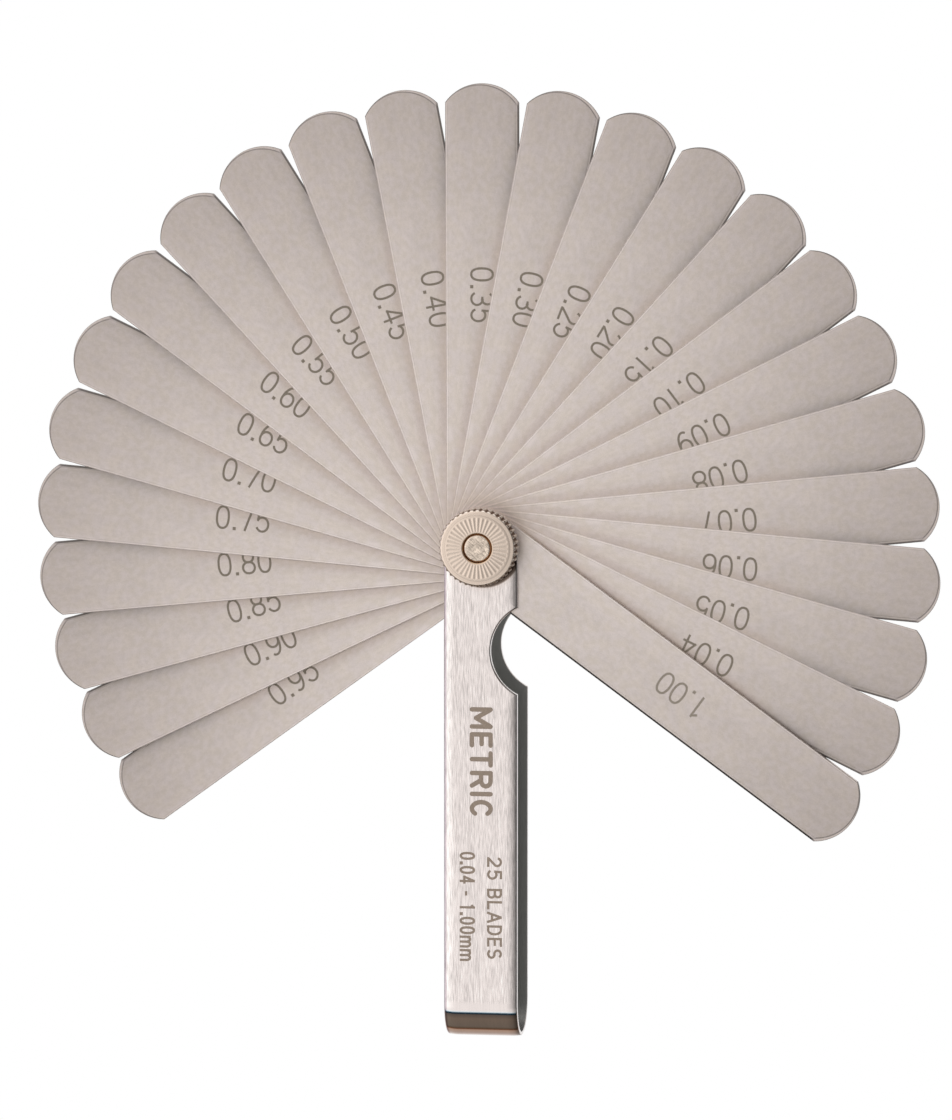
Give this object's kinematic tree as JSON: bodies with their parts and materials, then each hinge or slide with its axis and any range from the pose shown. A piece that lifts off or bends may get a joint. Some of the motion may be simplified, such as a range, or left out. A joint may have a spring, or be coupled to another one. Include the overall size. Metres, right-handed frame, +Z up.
{
  "type": "feeler gauge",
  "caption": "Feeler gauge: thin steel thickness blades with rounded tips fan out of a U-bent steel holder on one pivot screw with a knurled lock nut.",
  "frame": {"origin": "on the outer face of the holder's back plate, on the handle's centre line, 60 mm below the pivot axis, where the closed handle lies against a surface", "axes": "+Z up the handle to the pivot and the 0.35 mm blade of the open fan, +Y out of the back of the handle along the pivot axis (the lock nut and the handle's front face -Y), +X to the right seen from the front, the side the thumb notch opens to"},
  "size_m": [0.1604, 0.0188, 0.1674],
  "materials": {
    "holder_steel": "satin",
    "blade_steel": "satin",
    "screw_nickel": "satin",
    "nut_nickel": "satin"
  },
  "bodies": {
    "holder": {"holder": "holder_steel"},
    "blade_1_00": {"blade_1_00": "blade_steel"},
    "blade_0_04": {"blade_0_04": "blade_steel"},
    "blade_0_05": {"blade_0_05": "blade_steel"},
    "blade_0_06": {"blade_0_06": "blade_steel"},
    "blade_0_07": {"blade_0_07": "blade_steel"},
    "blade_0_08": {"blade_0_08": "blade_steel"},
    "blade_0_09": {"blade_0_09": "blade_steel"},
    "blade_0_10": {"blade_0_10": "blade_steel"},
    "blade_0_15": {"blade_0_15": "blade_steel"},
    "blade_0_20": {"blade_0_20": "blade_steel"},
    "blade_0_25": {"blade_0_25": "blade_steel"},
    "blade_0_30": {"blade_0_30": "blade_steel"},
    "blade_0_35": {"blade_0_35": "blade_steel"},
    "blade_0_40": {"blade_0_40": "blade_steel"},
    "blade_0_45": {"blade_0_45": "blade_steel"},
    "blade_0_50": {"blade_0_50": "blade_steel"},
    "blade_0_55": {"blade_0_55": "blade_steel"},
    "blade_0_60": {"blade_0_60": "blade_steel"},
    "blade_0_65": {"blade_0_65": "blade_steel"},
    "blade_0_70": {"blade_0_70": "blade_steel"},
    "blade_0_75": {"blade_0_75": "blade_steel"},
    "blade_0_80": {"blade_0_80": "blade_steel"},
    "blade_0_85": {"blade_0_85": "blade_steel"},
    "blade_0_90": {"blade_0_90": "blade_steel"},
    "blade_0_95": {"blade_0_95": "blade_steel"},
    "pivot_screw": {"pivot_screw": "screw_nickel"},
    "lock_nut": {"lock_nut": "nut_nickel"}
  },
  "joints": [
    {"name": "blade_1_00_swing", "type": "hinge", "parent": "holder", "child": "blade_1_00", "pos_m": [0, -0.01164, 0.06], "axis": [0, -1, 0], "range_deg": [-53.9, 306.1]},
    {"name": "blade_0_04_swing", "type": "hinge", "parent": "holder", "child": "blade_0_04", "pos_m": [0, -0.0111, 0.06], "axis": [0, -1, 0], "range_deg": [-64.5, 295.5]},
    {"name": "blade_0_05_swing", "type": "hinge", "parent": "holder", "child": "blade_0_05", "pos_m": [0, -0.01103, 0.06], "axis": [0, -1, 0], "range_deg": [-75.1, 284.9]},
    {"name": "blade_0_06_swing", "type": "hinge", "parent": "holder", "child": "blade_0_06", "pos_m": [0, -0.01096, 0.06], "axis": [0, -1, 0], "range_deg": [-85.7, 274.3]},
    {"name": "blade_0_07_swing", "type": "hinge", "parent": "holder", "child": "blade_0_07", "pos_m": [0, -0.01087, 0.06], "axis": [0, -1, 0], "range_deg": [-96.2, 263.8]},
    {"name": "blade_0_08_swing", "type": "hinge", "parent": "holder", "child": "blade_0_08", "pos_m": [0, -0.01078, 0.06], "axis": [0, -1, 0], "range_deg": [-106.6, 253.4]},
    {"name": "blade_0_09_swing", "type": "hinge", "parent": "holder", "child": "blade_0_09", "pos_m": [0, -0.01068, 0.06], "axis": [0, -1, 0], "range_deg": [-117.1, 242.9]},
    {"name": "blade_0_10_swing", "type": "hinge", "parent": "holder", "child": "blade_0_10", "pos_m": [0, -0.01056, 0.06], "axis": [0, -1, 0], "range_deg": [-127.5, 232.5]},
    {"name": "blade_0_15_swing", "type": "hinge", "parent": "holder", "child": "blade_0_15", "pos_m": [0, -0.01042, 0.06], "axis": [0, -1, 0], "range_deg": [-137.9, 222.1]},
    {"name": "blade_0_20_swing", "type": "hinge", "parent": "holder", "child": "blade_0_20", "pos_m": [0, -0.01022, 0.06], "axis": [0, -1, 0], "range_deg": [-148.4, 211.6]},
    {"name": "blade_0_25_swing", "type": "hinge", "parent": "holder", "child": "blade_0_25", "pos_m": [0, -0.00997, 0.06], "axis": [0, -1, 0], "range_deg": [-158.9, 201.1]},
    {"name": "blade_0_30_swing", "type": "hinge", "parent": "holder", "child": "blade_0_30", "pos_m": [0, -0.00968, 0.06], "axis": [0, -1, 0], "range_deg": [-169.5, 190.5]},
    {"name": "blade_0_35_swing", "type": "hinge", "parent": "holder", "child": "blade_0_35", "pos_m": [0, -0.00933, 0.06], "axis": [0, -1, 0], "range_deg": [-180.2, 179.8]},
    {"name": "blade_0_40_swing", "type": "hinge", "parent": "holder", "child": "blade_0_40", "pos_m": [0, -0.00894, 0.06], "axis": [0, -1, 0], "range_deg": [-190.9, 169.1]},
    {"name": "blade_0_45_swing", "type": "hinge", "parent": "holder", "child": "blade_0_45", "pos_m": [0, -0.0085, 0.06], "axis": [0, -1, 0], "range_deg": [-201.7, 158.3]},
    {"name": "blade_0_50_swing", "type": "hinge", "parent": "holder", "child": "blade_0_50", "pos_m": [0, -0.008, 0.06], "axis": [0, -1, 0], "range_deg": [-212.5, 147.5]},
    {"name": "blade_0_55_swing", "type": "hinge", "parent": "holder", "child": "blade_0_55", "pos_m": [0, -0.00745, 0.06], "axis": [0, -1, 0], "range_deg": [-223.2, 136.8]},
    {"name": "blade_0_60_swing", "type": "hinge", "parent": "holder", "child": "blade_0_60", "pos_m": [0, -0.00686, 0.06], "axis": [0, -1, 0], "range_deg": [-234, 126]},
    {"name": "blade_0_65_swing", "type": "hinge", "parent": "holder", "child": "blade_0_65", "pos_m": [0, -0.00622, 0.06], "axis": [0, -1, 0], "range_deg": [-244.6, 115.4]},
    {"name": "blade_0_70_swing", "type": "hinge", "parent": "holder", "child": "blade_0_70", "pos_m": [0, -0.00552, 0.06], "axis": [0, -1, 0], "range_deg": [-255.1, 104.9]},
    {"name": "blade_0_75_swing", "type": "hinge", "parent": "holder", "child": "blade_0_75", "pos_m": [0, -0.00477, 0.06], "axis": [0, -1, 0], "range_deg": [-265.5, 94.5]},
    {"name": "blade_0_80_swing", "type": "hinge", "parent": "holder", "child": "blade_0_80", "pos_m": [0, -0.00398, 0.06], "axis": [0, -1, 0], "range_deg": [-275.8, 84.2]},
    {"name": "blade_0_85_swing", "type": "hinge", "parent": "holder", "child": "blade_0_85", "pos_m": [0, -0.00314, 0.06], "axis": [0, -1, 0], "range_deg": [-286, 74]},
    {"name": "blade_0_90_swing", "type": "hinge", "parent": "holder", "child": "blade_0_90", "pos_m": [0, -0.00224, 0.06], "axis": [0, -1, 0], "range_deg": [-296.1, 63.9]},
    {"name": "blade_0_95_swing", "type": "hinge", "parent": "holder", "child": "blade_0_95", "pos_m": [0, -0.00129, 0.06], "axis": [0, -1, 0], "range_deg": [-306.1, 53.9]},
    {"name": "lock_nut_turn", "type": "hinge", "parent": "holder", "child": "lock_nut", "pos_m": [0, -0.01486, 0.06], "axis": [0, -1, 0], "range_deg": [0, 360]},
    {"name": "pivot_screw_slide", "type": "slide", "parent": "holder", "child": "pivot_screw", "axis": [0, 1, 0], "range_m": [0, 0.0008]}
  ],
  "couplings": [
    {"joint": "lock_nut_turn", "follows": "pivot_screw_slide", "rad_per_m": 7853.9}
  ]
}
